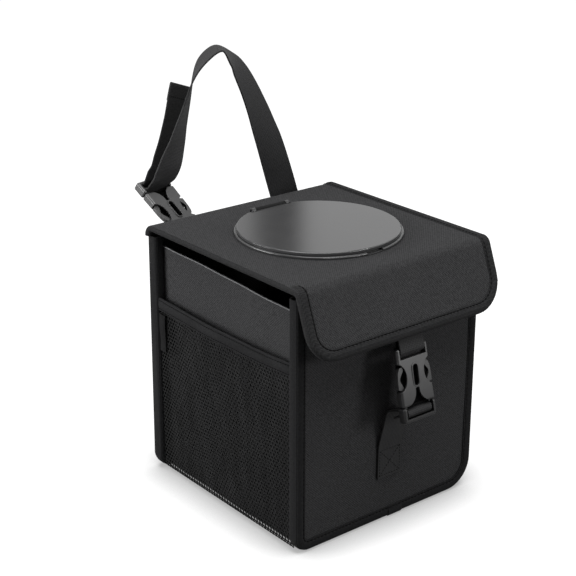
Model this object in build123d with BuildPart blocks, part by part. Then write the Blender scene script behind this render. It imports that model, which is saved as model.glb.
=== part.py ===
from build123d import *
import os
from math import atan, cos, degrees, radians, sin, sqrt, tan

os.makedirs("parts", exist_ok=True)

# A soft car trash bin. The origin is on the floor under the middle of the bin, +Z is up,
# +X is to the right seen from the front, and the front looks along -Y.

# Bin body
panel_width = 185.0
bin_depth = 189.0
panel_top = 206.0
side_top = 198.0
corner_radius = 14.0
panel_thickness = 3.4
gusset_thickness = 2.6
gusset_inset = 8.0
tape_thickness = 0.9
tape_width = 9.0
seat_gap = 0.3

# Side pockets
pocket_top = 155.0
hem_height = 11.0
hem_thickness = 2.2
net_thickness = 0.8
net_inset = 2.2
net_pitch = 18.6
net_strand = 2.6
tag_width = 9.0
tag_height = 32.0
tag_thickness = 0.8

# Lid
lid_rise = 10.0
lid_width = 192.0
cover_thickness = 4.0
back_fold_radius = 9.0
front_fold_radius = 7.0
fold_overhang = 4.7
flap_length = 55.6
flap_tilt = 21.0
flap_corner_radius = 23.0
lid_hinge_gap = 0.4

# Opening ring and round flip lid
ring_y = -8.0
opening_radius = 54.0
barrel_wall = 3.0
barrel_reach = 6.0
flange_radius = 66.5
flange_height = 2.2
flange_round = 1.0
retainer_radius = 65.0
retainer_height = 2.4
ring_gap = 0.2
disc_radius = 64.5
disc_thickness = 2.5
disc_round = 0.8
disc_gap = 0.3
skirt_wall = 1.6
skirt_depth = 3.0
skirt_gap = 0.6
pivot_reach = 62.0
knuckle_radius = 2.1
knuckle_length = 30.0
lug_radius = 2.3
lug_width = 3.2
lug_gap = 0.4
pin_radius = 1.0
pin_running_gap = 0.05
pin_head = 0.6
thumb_width = 16.0
thumb_depth = 1.4
thumb_reach = 4.0

# Webbing and buckles
webbing_width = 25.0
webbing_thickness = 1.5
buckle_width = 32.0
buckle_thickness = 7.6
buckle_round = 1.7
socket_length = 45.0
socket_top_width = 30.5
socket_top_thickness = 5.4
slot_play = 0.4
socket_bar_radius = 2.1
socket_bar_drop = 2.4
socket_slot = 4.0
cavity_depth = 34.6
cavity_width = 27.6
cavity_height = 4.0
window_height = 21.8
window_reach = 8.0
window_middle = 23.0
window_offset = 16.8
centre_slot_width = 5.0
centre_slot_length = 16.6
centre_slot_middle = 22.6
centre_slot_rim = 0.9
centre_slot_rise = 0.5
arch_radius = 11.4
arch_neck_width = 3.8
arch_neck_top = 12.8
prong_play = 0.4
plug_frame = 12.3
plug_play = 0.9
plug_end_bar = 2.9
plug_shoulder = 1.4
shoulder_drop = 0.2
plug_bar_radius = 2.0
mouth_gap = 0.3
prong_length = 31.0
prong_width = 2.4
prong_hook = 13.5
prong_bulge = 3.4
prong_tip = 9.6

# Front buckle
front_buckle_tilt = 12.6
front_bar_reach = 9.1
flap_strap_start = 22.0
flap_strap_end = 53.0
flap_strap_plies = 3.0
loop_play = 0.2
tab_bottom = 38.0
tab_bend_radius = 31.0
tab_tail_reach = 8.0
tab_tail_drop = 4.0
tab_tail_length = 14.0
tab_tail_radius = 6.0

# Back buckle and hanging strap, measured from the back panel's outer face
back_buckle_rise = 36.0
back_buckle_yaw = 11.0
anchor_x = -44.9
anchor_back = 12.9
anchor_height = 197.5
anchor_sewn_bottom = 124.0
anchor_sewn_top = 166.0
anchor_end = 150.0
strap_x = 59.0
strap_sewn_bottom = 112.0
strap_sewn_top = 160.0

# Run of the hanging strap over its arch and of its free tail: across, behind the back panel, above the
# anchor, and the turn of the webbing's width about Z
arch_points = [
    (58.8, 15.3, 9.3, -28),
    (47.9, 19.3, 51.2, -14),
    (35.8, 22.6, 87.4, 9),
    (21.8, 27.2, 120.5, 26),
    (4.6, 33.7, 141.9, 62),
    (-10.5, 36.2, 133.5, 65),
    (-19.9, 37.3, 118.5, 54),
    (-33.0, 38.3, 79.1, 31),
    (-44.5, 38.6, 48.8, 4),
]
tail_points = [
    (-42.0, 50.2, 52.5, 12),
    (-35.6, 50.0, 64.5, 14),
    (-30.4, 49.0, 82.5, 15),
    (-26.4, 45.8, 113.0, 15),
]

# Values that follow from the sizes above
half_width = panel_width / 2
lid_top = panel_top + lid_rise
half_depth = bin_depth / 2
panel_face = half_depth - tape_thickness
panel_back = panel_face - panel_thickness
flange_back = panel_back - gusset_thickness
tape_back = flange_back - tape_thickness
ring_top = lid_top + flange_height
lid_under = lid_top - cover_thickness
barrel_radius = opening_radius + barrel_wall
disc_bottom = ring_top + disc_gap
disc_top = disc_bottom + disc_thickness
pivot_y = ring_y + pivot_reach
pivot_z = disc_bottom + knuckle_radius
webbing_seat = panel_face + webbing_thickness / 2


def panel_sketch(y, top, outer_inset, inner_inset=None):
    """Panel outline drawn in by an inset, at this y; with an inner inset, only the U-shaped band between."""
    insets = [(outer_inset, Mode.ADD)]
    if inner_inset is not None:
        insets.append((inner_inset, Mode.SUBTRACT))
    with BuildSketch(Plane.XZ.offset(-y)) as outline:
        for inset, mode in insets:
            half = half_width - inset
            radius = corner_radius - inset
            low = inset + radius
            with BuildLine():
                Line((-half, top), (-half, low))
                CenterArc((-half + radius, low), radius, 180, 90)
                Line((-half + radius, inset), (half - radius, inset))
                CenterArc((half - radius, low), radius, 270, 90)
                Line((half, low), (half, top))
                Line((half, top), (-half, top))
            make_face(mode=mode)
    return outline.sketch


def save(piece, name):
    """Labels a finished piece and writes it to its own file."""
    piece.part.label = name
    export_step(piece.part, f"parts/{name}.step")


# Front and back panels
with BuildPart() as front_panel:
    extrude(panel_sketch(-panel_back, panel_top, tape_thickness), amount=panel_thickness)
save(front_panel, "front_panel")

with BuildPart() as back_panel:
    extrude(panel_sketch(panel_face, panel_top, tape_thickness), amount=panel_thickness)
save(back_panel, "back_panel")

# Gusset: sides and bottom in one strip, with seam flanges turned outwards along both edges
gusset_inner = gusset_inset + gusset_thickness
with BuildPart() as gusset:
    extrude(panel_sketch(panel_back, side_top, gusset_inset, gusset_inner), amount=2 * panel_back)
    for y in (panel_back, -flange_back):
        extrude(panel_sketch(y, side_top, tape_thickness, gusset_inner), amount=gusset_thickness)
save(gusset, "gusset")


def seam_binding(sign):
    """Tape folded round the raw edges of a panel and the gusset's flange."""
    turned_in = gusset_inset - seat_gap
    with BuildPart() as binding:
        fold = half_depth - tape_back
        extrude(panel_sketch(sign * half_depth, panel_top, 0, tape_width), amount=sign * tape_thickness)
        extrude(panel_sketch(sign * half_depth, panel_top, 0, tape_thickness), amount=sign * fold)
        extrude(panel_sketch(sign * tape_back, side_top, 0, turned_in), amount=-sign * tape_thickness)
    return binding


save(seam_binding(-1), "front_binding")
save(seam_binding(1), "back_binding")

# Net pockets on both sides: a flat net between the bound seams, with a folded hem along its mouth
net_face = half_width - net_inset
net_bottom = corner_radius - sqrt(corner_radius**2 - (corner_radius - net_inset) ** 2)
hem_bottom = pocket_top - hem_height
net_middle = (net_bottom + hem_bottom) / 2
net_columns = int((2 * tape_back - net_strand) / net_pitch)
net_rows = int((hem_bottom - net_bottom - net_strand) / net_pitch)


def net_pocket(side_plane):
    """Net of a pocket, with staggered diamond openings."""
    with BuildPart() as net:
        with BuildSketch(side_plane.offset(net_face - net_thickness)):
            with Locations((0, net_middle)):
                Rectangle(2 * tape_back, hem_bottom - net_bottom)
            opening = (net_pitch - net_strand) / sqrt(2)
            with Locations((0, net_middle)):
                with GridLocations(net_pitch, net_pitch, net_columns, net_rows):
                    Rectangle(opening, opening, rotation=45, mode=Mode.SUBTRACT)
                with GridLocations(net_pitch, net_pitch, net_columns - 1, net_rows - 1):
                    Rectangle(opening, opening, rotation=45, mode=Mode.SUBTRACT)
        extrude(amount=net_thickness)
    return net


def pocket_hem(side_plane):
    """Folded tape along a pocket's mouth."""
    with BuildPart() as hem:
        with BuildSketch(side_plane.offset(net_face - (net_thickness + hem_thickness) / 2)):
            with Locations((0, (hem_bottom + pocket_top) / 2)):
                Rectangle(2 * tape_back, hem_height)
        extrude(amount=hem_thickness)
        fillet(hem.edges().filter_by(Axis.Y), hem_thickness / 3)
    return hem


left_side = Plane(origin=(0, 0, 0), x_dir=(0, -1, 0), z_dir=(-1, 0, 0))
right_side = Plane(origin=(0, 0, 0), x_dir=(0, 1, 0), z_dir=(1, 0, 0))
save(net_pocket(left_side), "left_pocket")
save(net_pocket(right_side), "right_pocket")
save(pocket_hem(left_side), "left_pocket_hem")
save(pocket_hem(right_side), "right_pocket_hem")

# Tag sewn into the back seam of the left pocket
with BuildPart() as side_tag:
    with BuildSketch(left_side.offset(net_face)):
        with Locations((-tape_back + tag_width / 2, hem_bottom - tag_height / 2)):
            Rectangle(tag_width, tag_height)
    extrude(amount=tag_thickness)
save(side_tag, "side_tag")

# Lid: top panel and front flap in one folded piece
fold_y = -(half_depth + fold_overhang)
flap_down = Vector(0, -sin(radians(flap_tilt)), -cos(radians(flap_tilt)))
flap_inward = Vector(0, cos(radians(flap_tilt)), -sin(radians(flap_tilt)))
fold_point = Vector(0, fold_y, lid_top)
lid_low = panel_top + lid_hinge_gap
cover_half = lid_width / 2 - tape_thickness
board_length = flap_length - tape_thickness


def folded_lid(skin, half, length, radius):
    """Folded lid thickened by skin on both faces, with rounded corners at the flap's end."""
    flap_end = fold_point + flap_down * length - flap_inward * skin
    with BuildPart() as lid:
        with BuildSketch(Plane.YZ):
            with BuildLine():
                FilletPolyline(
                    (panel_face + skin, lid_low),
                    (panel_face + skin, lid_top + skin),
                    (fold_y - skin * tan(radians(45 - flap_tilt / 2)), lid_top + skin),
                    (flap_end.Y, flap_end.Z),
                    radius=(back_fold_radius + skin, front_fold_radius + skin),
                )
                offset(amount=cover_thickness + 2 * skin, side=Side.LEFT)
            make_face()
        extrude(amount=half, both=True)
        fillet(lid.edges().filter_by(Axis((0, 0, 0), flap_inward)), radius)
    return lid.part


cover_board = folded_lid(0, cover_half, board_length, flap_corner_radius - tape_thickness)
with BuildPart() as lid_cover:
    add(cover_board)
    with Locations((0, ring_y, lid_top)):
        Cylinder(barrel_radius + ring_gap, 3 * cover_thickness, mode=Mode.SUBTRACT)
save(lid_cover, "lid_cover")

# Tape folded over the lid's sides and round the flap
with BuildPart() as lid_binding:
    add(folded_lid(tape_thickness, lid_width / 2, flap_length, flap_corner_radius))
    add(
        folded_lid(
            1.2 * tape_thickness,
            lid_width / 2 - tape_width,
            flap_length - tape_width,
            flap_corner_radius - tape_width,
        ),
        mode=Mode.SUBTRACT,
    )
    add(cover_board, mode=Mode.SUBTRACT)
save(lid_binding, "lid_binding")

# Plastic ring through the lid, with hinge lugs at the back and a thumb notch at the front
bottom_up = (Align.CENTER, Align.CENTER, Align.MIN)
lug_inner = knuckle_length / 2 + lug_gap
with BuildPart() as opening_ring:
    with Locations((0, ring_y, lid_top)):
        Cylinder(flange_radius, flange_height, align=bottom_up)
    fillet(opening_ring.edges().group_by(Axis.Z)[-1], flange_round)
    with Locations((0, ring_y, lid_under - barrel_reach)):
        Cylinder(barrel_radius, barrel_reach + cover_thickness, align=bottom_up)
    for side in (-1, 1):
        with BuildSketch(Plane.YZ.offset(side * lug_inner)):
            with Locations((pivot_y, pivot_z)):
                Circle(lug_radius)
            with Locations((pivot_y, (lid_top + pivot_z) / 2)):
                Rectangle(2 * lug_radius, pivot_z - lid_top)
        extrude(amount=side * lug_width)
    with BuildSketch(Plane.YZ):
        with Locations((pivot_y, pivot_z)):
            Circle(pin_radius + pin_running_gap)
    extrude(amount=lug_inner + 2 * lug_width, both=True, mode=Mode.SUBTRACT)
    with Locations((0, ring_y, lid_under - barrel_reach)):
        ring_height = ring_top - lid_under + barrel_reach
        Cylinder(opening_radius, ring_height, align=bottom_up, mode=Mode.SUBTRACT)
    with Locations((0, ring_y - flange_radius, ring_top)):
        Box(thumb_width, 2 * thumb_reach, 2 * thumb_depth, mode=Mode.SUBTRACT)
save(opening_ring, "opening_ring")

# Ring that clamps the lid from below
with BuildPart() as ring_retainer:
    with Locations((0, ring_y, lid_under - retainer_height)):
        Cylinder(retainer_radius, retainer_height, align=bottom_up)
        Cylinder(barrel_radius + ring_gap, retainer_height, align=bottom_up, mode=Mode.SUBTRACT)
save(ring_retainer, "ring_retainer")

# Round flip lid: a disc with a skirt that drops into the ring and a knuckle on the pin
skirt_radius = opening_radius - skirt_gap
lug_space = lug_width + pin_head + 2 * lug_gap
lug_middle = lug_inner + (lug_width + pin_head) / 2
with BuildPart() as round_lid:
    with Locations((0, ring_y, disc_bottom)):
        Cylinder(disc_radius, disc_thickness, align=bottom_up)
    fillet(round_lid.edges().group_by(Axis.Z)[-1], disc_round)
    with Locations((0, ring_y, disc_bottom - skirt_depth)):
        Cylinder(skirt_radius, skirt_depth, align=bottom_up)
        Cylinder(skirt_radius - skirt_wall, skirt_depth, align=bottom_up, mode=Mode.SUBTRACT)
    with Locations((0, pivot_y + knuckle_radius, disc_top)):
        Box(disc_radius, 2 * knuckle_radius, 3 * disc_thickness, mode=Mode.SUBTRACT)
    with BuildSketch(Plane.YZ):
        with Locations((pivot_y, pivot_z)):
            Circle(knuckle_radius)
    extrude(amount=knuckle_length / 2, both=True)
    with Locations((-lug_middle, pivot_y, disc_top), (lug_middle, pivot_y, disc_top)):
        Box(lug_space, 2 * (lug_radius + disc_round), 3 * disc_thickness, mode=Mode.SUBTRACT)
    with BuildSketch(Plane.YZ):
        with Locations((pivot_y, pivot_z)):
            Circle(pin_radius + pin_running_gap)
    extrude(amount=disc_radius, both=True, mode=Mode.SUBTRACT)
save(round_lid, "round_lid")

# Pin of the flip lid, headed at both ends
with BuildPart() as hinge_pin:
    with BuildSketch(Plane.YZ):
        with Locations((pivot_y, pivot_z)):
            Circle(pin_radius)
    extrude(amount=lug_inner + lug_width + pin_head, both=True)
    for side in (-1, 1):
        with BuildSketch(Plane.YZ.offset(side * (lug_inner + lug_width))):
            with Locations((pivot_y, pivot_z)):
                Circle(pin_radius + pin_head)
        extrude(amount=side * pin_head)
save(hinge_pin, "hinge_pin")

# Side-release buckles. In a buckle's own frame the mouth is at y = 0, the socket lies at y above 0
# and the plug's frame below, and z points out of the face.
socket_bar_y = socket_length - socket_bar_drop
socket_slot_half = webbing_width / 2 + slot_play
plug_bar_y = (-plug_frame + plug_end_bar - plug_shoulder) / 2


def bar_plane(place, along):
    """Plane across a buckle at this y, looking along its bar."""
    return Plane(origin=place.from_local_coords((0, along, 0)), x_dir=place.y_dir, z_dir=place.x_dir)


def cross_plane(place, along):
    """Plane square across a buckle at this y."""
    return Plane(origin=place.from_local_coords((0, along, 0)), x_dir=place.x_dir, z_dir=place.y_dir)


def buckle_socket(place):
    """Female half: hollow, tapered towards its strap bar, with side windows and an arched mouth."""
    thinning = (buckle_thickness - socket_top_thickness) / 2
    slot_face = buckle_thickness / 2 - thinning * centre_slot_middle / socket_length
    with BuildPart() as socket:
        with BuildSketch(cross_plane(place, 0)):
            Rectangle(buckle_width, buckle_thickness)
        with BuildSketch(cross_plane(place, socket_length)):
            Rectangle(socket_top_width, socket_top_thickness)
        loft()
        fillet(socket.edges(), buckle_round)
        with BuildSketch(place.offset(slot_face - buckle_round)):
            with Locations((0, centre_slot_middle)):
                rim = 2 * centre_slot_rim
                SlotOverall(centre_slot_length + rim, centre_slot_width + rim, rotation=90)
        extrude(amount=buckle_round + centre_slot_rise)
        with BuildSketch(place):
            with Locations((-window_offset, window_middle), (window_offset, window_middle)):
                Ellipse(window_reach, window_height / 2)
            with Locations((0, socket_length)):
                Rectangle(2 * socket_slot_half, 2 * (socket_bar_drop + socket_bar_radius + socket_slot))
        extrude(amount=buckle_thickness, both=True, mode=Mode.SUBTRACT)
        with BuildSketch(place):
            Rectangle(cavity_width, cavity_depth, align=(Align.CENTER, Align.MIN))
        extrude(amount=cavity_height / 2, both=True, mode=Mode.SUBTRACT)
        with BuildSketch(place):
            arch_side = arch_radius + arch_neck_width / 2
            Rectangle(2 * arch_side, arch_radius, align=(Align.CENTER, Align.MIN))
            with Locations((-arch_side, arch_radius), (arch_side, arch_radius)):
                Circle(arch_radius, mode=Mode.SUBTRACT)
            Rectangle(arch_neck_width, arch_neck_top, align=(Align.CENTER, Align.MIN))
            with Locations((0, centre_slot_middle)):
                SlotOverall(centre_slot_length, centre_slot_width, rotation=90)
        extrude(amount=buckle_thickness, both=True, mode=Mode.SUBTRACT)
        with BuildSketch(bar_plane(place, socket_bar_y)):
            Circle(socket_bar_radius)
        extrude(amount=socket_slot_half + buckle_round / 2, both=True)
    return socket


def buckle_plug(place):
    """Male half: a frame with a strap bar and two sprung prongs bowed into the windows."""
    frame_half = webbing_width / 2 + plug_play
    root_half = cavity_width / 2 - prong_play
    prong_face = cavity_height / 2 - prong_play
    inner = root_half - prong_width
    bulge = root_half + prong_bulge
    with BuildPart() as plug:
        with BuildSketch(place):
            with Locations((0, -mouth_gap)):
                Rectangle(buckle_width, plug_frame - mouth_gap, align=(Align.CENTER, Align.MAX))
        extrude(amount=buckle_thickness / 2, both=True)
        fillet(plug.edges(), buckle_round)
        with BuildSketch(place):
            with Locations((0, -plug_shoulder)):
                opening_length = plug_frame - plug_end_bar - plug_shoulder
                Rectangle(2 * frame_half, opening_length, align=(Align.CENTER, Align.MAX))
        extrude(amount=buckle_thickness, both=True, mode=Mode.SUBTRACT)
        with BuildSketch(place.offset(-shoulder_drop)):
            Rectangle(2 * frame_half, 2 * plug_shoulder)
        extrude(amount=buckle_thickness, mode=Mode.SUBTRACT)
        with BuildSketch(bar_plane(place, plug_bar_y)):
            Circle(plug_bar_radius)
        extrude(amount=frame_half + buckle_round / 2, both=True)
        with BuildSketch(place):
            with BuildLine() as prong:
                Polyline(
                    (inner, prong_hook - 4),
                    (inner, -plug_shoulder),
                    (root_half, -plug_shoulder),
                    (root_half, prong_hook - 0.5),
                )
                Line((root_half, prong_hook - 0.5), (bulge, prong_hook + 0.8))
                Spline(
                    (bulge, prong_hook + 0.8),
                    (bulge - 0.6, prong_length - 6),
                    (prong_tip + 1.4, prong_length),
                    tangents=((0, 1), (-1, 0)),
                )
                Line((prong_tip + 1.4, prong_length), (prong_tip, prong_length - 1.4))
                Spline(
                    (prong_tip, prong_length - 1.4),
                    (bulge - prong_width, prong_length - 9),
                    (inner, prong_hook - 4),
                    tangents=((0.6, -1), (0, -1)),
                )
            make_face()
            mirror(make_face(prong.edges(), mode=Mode.PRIVATE), about=Plane.YZ)
        extrude(amount=prong_face, both=True)
    return plug


# Front buckle: the socket hangs from the flap, the plug is held by the front panel's webbing
flap_tip = fold_point + flap_down * flap_length
sewn_depth = cover_thickness + tape_thickness
front_bar_depth = sewn_depth + webbing_thickness + loop_play + socket_bar_radius + ring_gap
front_bar = flap_tip + flap_down * front_bar_reach + flap_inward * front_bar_depth
tilt = radians(front_buckle_tilt)
front_up = Vector(0, sin(tilt), cos(tilt))
front_out = Vector(0, -cos(tilt), sin(tilt))
front_buckle = Plane(origin=front_bar - front_up * socket_bar_y, x_dir=(1, 0, 0), z_dir=front_out)
save(buckle_socket(front_buckle), "front_socket")
save(buckle_plug(front_buckle), "front_plug")

# Webbing sewn under the flap and looped round the front socket's bar
sewn_middle = sewn_depth + flap_strap_plies / 2
strap_seam = fold_point + flap_down * flap_strap_end + flap_inward * sewn_middle
with BuildPart() as flap_strap:
    with BuildSketch(Plane.YZ):
        with Locations((front_bar.Y, front_bar.Z)):
            Circle(socket_bar_radius + loop_play + webbing_thickness)
        with Locations((strap_seam.Y, strap_seam.Z)):
            Circle(flap_strap_plies / 2)
        make_hull()
        with BuildLine():
            corners = []
            for along, depth in (
                (flap_strap_start, sewn_depth),
                (flap_strap_end, sewn_depth),
                (flap_strap_end, sewn_depth + flap_strap_plies),
                (flap_strap_start, sewn_depth + flap_strap_plies),
            ):
                corner = fold_point + flap_down * along + flap_inward * depth
                corners.append((corner.Y, corner.Z))
            Polyline(*corners, close=True)
        make_face()
        with Locations((front_bar.Y, front_bar.Z)):
            Circle(socket_bar_radius + loop_play, mode=Mode.SUBTRACT)
    extrude(amount=webbing_width / 2, both=True)
save(flap_strap, "flap_strap")

# Webbing sewn to the front panel, threaded up round the front plug's bar
turn = plug_bar_radius + loop_play + webbing_thickness / 2


def beside_buckle(along, out):
    """Point of the front buckle's middle section, in the side view."""
    point = front_buckle.from_local_coords((0, along, out))
    return (point.Y, point.Z)


tab_in = Vector(front_buckle.from_local_coords((0, plug_bar_y - turn, 0)))
tab_bend = tab_in - front_out * ((tab_in.Y + webbing_seat) / front_out.Y)
with BuildPart() as panel_strap:
    with BuildSketch(Plane.YZ):
        with BuildLine() as route:
            FilletPolyline(
                (-webbing_seat, tab_bottom),
                (-webbing_seat, tab_bend.Z),
                beside_buckle(plug_bar_y - turn, 0),
                radius=tab_bend_radius,
            )
            ThreePointArc(
                beside_buckle(plug_bar_y - turn, 0),
                beside_buckle(plug_bar_y, turn),
                beside_buckle(plug_bar_y + turn, 0),
            )
            FilletPolyline(
                beside_buckle(plug_bar_y + turn, 0),
                beside_buckle(plug_bar_y + turn, -tab_tail_reach),
                beside_buckle(plug_bar_y + turn - tab_tail_drop, -tab_tail_length),
                radius=tab_tail_radius,
            )
        trace(route.edges(), line_width=webbing_thickness)
    extrude(amount=webbing_width / 2, both=True)
save(panel_strap, "panel_strap")

# Back buckle: leans up and back from the back panel
rise = radians(back_buckle_rise)
yaw = radians(back_buckle_yaw)
back_up = Vector(-sin(yaw) * cos(rise), cos(yaw) * cos(rise), sin(rise))
back_out = Vector(sin(yaw) * sin(rise), -cos(yaw) * sin(rise), cos(rise))
anchor_bar = Vector(anchor_x, panel_face + anchor_back, anchor_height)
back_buckle = Plane(
    origin=anchor_bar + back_up * socket_bar_y,
    x_dir=(-cos(yaw), -sin(yaw), 0),
    z_dir=back_out,
)
save(buckle_socket(back_buckle), "hanging_socket")
save(buckle_plug(back_buckle), "hanging_plug")


def sections(edge, count, turns):
    """Planes across an edge; turns pairs a share of the edge with the turn of the webbing's width about Z."""
    planes = []
    for index in range(count):
        share = index / (count - 1)
        for (low, low_turn), (high, high_turn) in zip(turns, turns[1:]):
            if share <= high:
                break
        angle = radians(low_turn + (high_turn - low_turn) * (share - low) / (high - low))
        along = edge % share
        across = Vector(cos(angle), sin(angle), 0)
        across = across - along * across.dot(along)
        planes.append(Plane(origin=edge @ share, x_dir=across, z_dir=along))
    return planes


def free_run(start, stops, end, directions, count):
    """Planes along a smooth run from start to end; every stop holds a point and its turn."""
    points = [start[0]] + [stop[0] for stop in stops] + [end[0]]
    lengths = [0]
    for here, there in zip(points, points[1:]):
        lengths.append(lengths[-1] + (there - here).length)
    angles = [start[1]] + [stop[1] for stop in stops] + [end[1]]
    turns = [(length / lengths[-1], angle) for length, angle in zip(lengths, angles)]
    return sections(Spline(*points, tangents=directions), count, turns)


def ribbon(planes):
    """Webbing lofted through its sections."""
    with BuildPart() as strap:
        for plane in planes:
            with BuildSketch(plane):
                Rectangle(webbing_width, webbing_thickness)
        loft(ruled=True)
    return strap


up = Vector(0, 0, 1)
level = [(0, 0), (1, 0)]
skewed = [(0, back_buckle_yaw), (1, back_buckle_yaw)]

# Hanging strap: sewn to the back panel, over the arch, round the hanging plug's bar, with a free tail
strap_foot = Vector(strap_x, webbing_seat, strap_sewn_bottom)
strap_head = Vector(strap_x, webbing_seat, strap_sewn_top)
slot_in = Vector(back_buckle.from_local_coords((0, plug_bar_y + turn, 0)))
slot_out = Vector(back_buckle.from_local_coords((0, plug_bar_y - turn, 0)))
plug_under = back_buckle.from_local_coords((0, plug_bar_y, -turn))
face_in = slot_in + back_out * (buckle_thickness / 2)
face_out = slot_out + back_out * (buckle_thickness / 2)
arch_stops = []
for x, back, above, angle in arch_points:
    arch_stops.append((Vector(x, panel_face + back, anchor_height + above), angle))
tail_stops = []
for x, back, above, angle in tail_points:
    tail_stops.append((Vector(x, panel_face + back, anchor_height + above), angle))
hanging_planes = sections(Line(strap_foot, strap_head), 2, level)[:1]
hanging_planes += free_run(
    (strap_head, 0),
    arch_stops,
    (face_in, back_buckle_yaw),
    (up, -back_out),
    36,
)
hanging_planes += sections(ThreePointArc(slot_in, plug_under, slot_out), 7, skewed)
hanging_planes += free_run(
    (face_out, back_buckle_yaw),
    tail_stops[:-1],
    tail_stops[-1],
    (back_out, tail_stops[-1][0] - tail_stops[-2][0]),
    14,
)
save(ribbon(hanging_planes), "hanging_strap")

# Short webbing sewn to the back panel, looped round the hanging socket's bar and doubled back
anchor_turn = socket_bar_radius + loop_play + webbing_thickness / 2
doubled = webbing_seat + webbing_thickness + seat_gap
anchor_foot = Vector(anchor_x, webbing_seat, anchor_sewn_bottom)
anchor_head = Vector(anchor_x, webbing_seat, anchor_sewn_top)
bar_over = Vector(back_buckle.from_local_coords((0, socket_bar_y, anchor_turn)))
bar_round = back_buckle.from_local_coords((0, socket_bar_y - anchor_turn, 0))
bar_under = Vector(back_buckle.from_local_coords((0, socket_bar_y, -anchor_turn)))
anchor_planes = sections(Line(anchor_foot, anchor_head), 2, level)[:1]
anchor_planes += free_run((anchor_head, 0), [], (bar_over, back_buckle_yaw), (up, back_up), 8)
anchor_planes += sections(ThreePointArc(bar_over, bar_round, bar_under), 7, skewed)[1:-1]
anchor_planes += free_run(
    (bar_under, back_buckle_yaw),
    [(Vector(anchor_x, doubled + seat_gap, anchor_sewn_top), 0)],
    (Vector(anchor_x, doubled, anchor_end), 0),
    (-back_up, -up),
    9,
)
save(ribbon(anchor_planes), "anchor_strap")
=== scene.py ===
from math import cos, exp, pi, radians, sin, tan

import bpy
from mathutils import Matrix, Vector


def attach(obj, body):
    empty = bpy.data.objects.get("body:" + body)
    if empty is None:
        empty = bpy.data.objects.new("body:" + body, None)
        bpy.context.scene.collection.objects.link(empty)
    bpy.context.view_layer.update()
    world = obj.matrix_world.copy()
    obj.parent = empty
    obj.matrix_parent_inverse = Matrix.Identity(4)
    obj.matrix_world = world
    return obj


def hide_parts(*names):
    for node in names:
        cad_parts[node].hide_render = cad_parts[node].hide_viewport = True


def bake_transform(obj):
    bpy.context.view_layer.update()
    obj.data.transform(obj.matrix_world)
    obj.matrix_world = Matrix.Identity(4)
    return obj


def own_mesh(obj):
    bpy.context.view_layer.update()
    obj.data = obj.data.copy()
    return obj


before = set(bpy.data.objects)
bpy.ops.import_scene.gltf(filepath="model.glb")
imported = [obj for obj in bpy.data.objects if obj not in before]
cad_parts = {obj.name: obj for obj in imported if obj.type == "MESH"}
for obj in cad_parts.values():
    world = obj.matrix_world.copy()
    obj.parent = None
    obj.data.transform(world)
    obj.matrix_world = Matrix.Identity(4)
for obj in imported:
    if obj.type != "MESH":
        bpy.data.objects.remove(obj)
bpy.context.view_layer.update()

# Sizes in millimetres, as in the part. Pieces are modelled in millimetres and set to metres at the end.
half_width = 92.5
half_depth = 94.5
panel_face = 93.6
panel_top = 206.0
side_top = 198.0
side_face = 84.5
side_half = 88.0
corner_left = 13.0
corner_right = 24.0
corner_back = 13.0
corner_trim = 4.0
pocket_face = 90.3
pocket_top = 155.0
pocket_half = 87.0
hem_height = 11.0
hem_sag = 1.8
lid_top = 216.0
lid_half = 96.0
lid_low = 206.4
cover_thickness = 4.0
cover_inset = 1.2
back_fold = 9.0
front_fold = 7.0
flap_corner = 23.0
flap_corner_right = 27.0
flap_length = 55.6
flap_tilt = radians(21)
fold_y = -99.2
ring_y = -8.0
ring_hole = 57.2
webbing_width = 25.0
webbing_thickness = 1.5
webbing_seat = panel_face + 1.6
stitch_inset = 7.7
station_pitch = 1.2

# Stitches: length and thickness, and their pitch
tape_stitch = (2.1, 1.35)
tape_stitch_pitch = 3.5
hem_stitch = (2.1, 0.6)
hem_stitch_pitch = 2.9
box_stitch = (1.7, 0.45)
tail_stitch = (2.0, 0.8)
webbing_stitch_pitch = 2.6

flap_down = Vector((0, -sin(flap_tilt), -cos(flap_tilt)))
flap_inward = Vector((0, cos(flap_tilt), -sin(flap_tilt)))
fold_point = Vector((0, fold_y, lid_top))
hand = {-1: "left", 1: "right"}


# Modelling tools
def let_go():
    bpy.ops.object.select_all(action="DESELECT")


def pick(piece):
    let_go()
    bpy.context.view_layer.objects.active = piece
    piece.select_set(True)


def edit(piece):
    pick(piece)
    bpy.ops.object.mode_set(mode="EDIT")
    bpy.ops.mesh.select_all(action="SELECT")


def done():
    bpy.ops.object.mode_set(mode="OBJECT")


def start(name, points, faces):
    """A new mesh from points and faces."""
    mesh = bpy.data.meshes.new(name)
    mesh.from_pydata([tuple(point) for point in points], [], faces)
    piece = bpy.data.objects.new(name, mesh)
    bpy.context.scene.collection.objects.link(piece)
    return piece


def start_section(name, outline):
    """A new flat face, ready to be extruded."""
    return start(name, outline, [list(range(len(outline)))])


def divided(half, columns):
    """Places from -half to half that divide a width into columns."""
    return [-half + 2 * half * index / columns for index in range(columns + 1)]


def stand_up(piece, place, turn=0.0):
    """Stands a flat piece upright at its place, turned about Z."""
    piece.rotation_euler = (pi / 2, 0, turn)
    piece.location = place
    bpy.ops.object.transform_apply(location=True, rotation=True, scale=True)


def sheet(name, columns, rows, size, place, turn=0.0):
    """An upright grid of cloth."""
    let_go()
    bpy.ops.mesh.primitive_grid_add(x_subdivisions=columns, y_subdivisions=rows, size=1)
    piece = bpy.context.object
    piece.name = name
    piece.scale = (*size, 1)
    stand_up(piece, place, turn)
    return piece


def modify(piece, kind, **settings):
    """Adds a modifier and applies it."""
    modifier = piece.modifiers.new(kind.lower(), kind)
    for key, value in settings.items():
        setattr(modifier, key, value)
    pick(piece)
    bpy.ops.object.modifier_apply(modifier=modifier.name)


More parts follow.
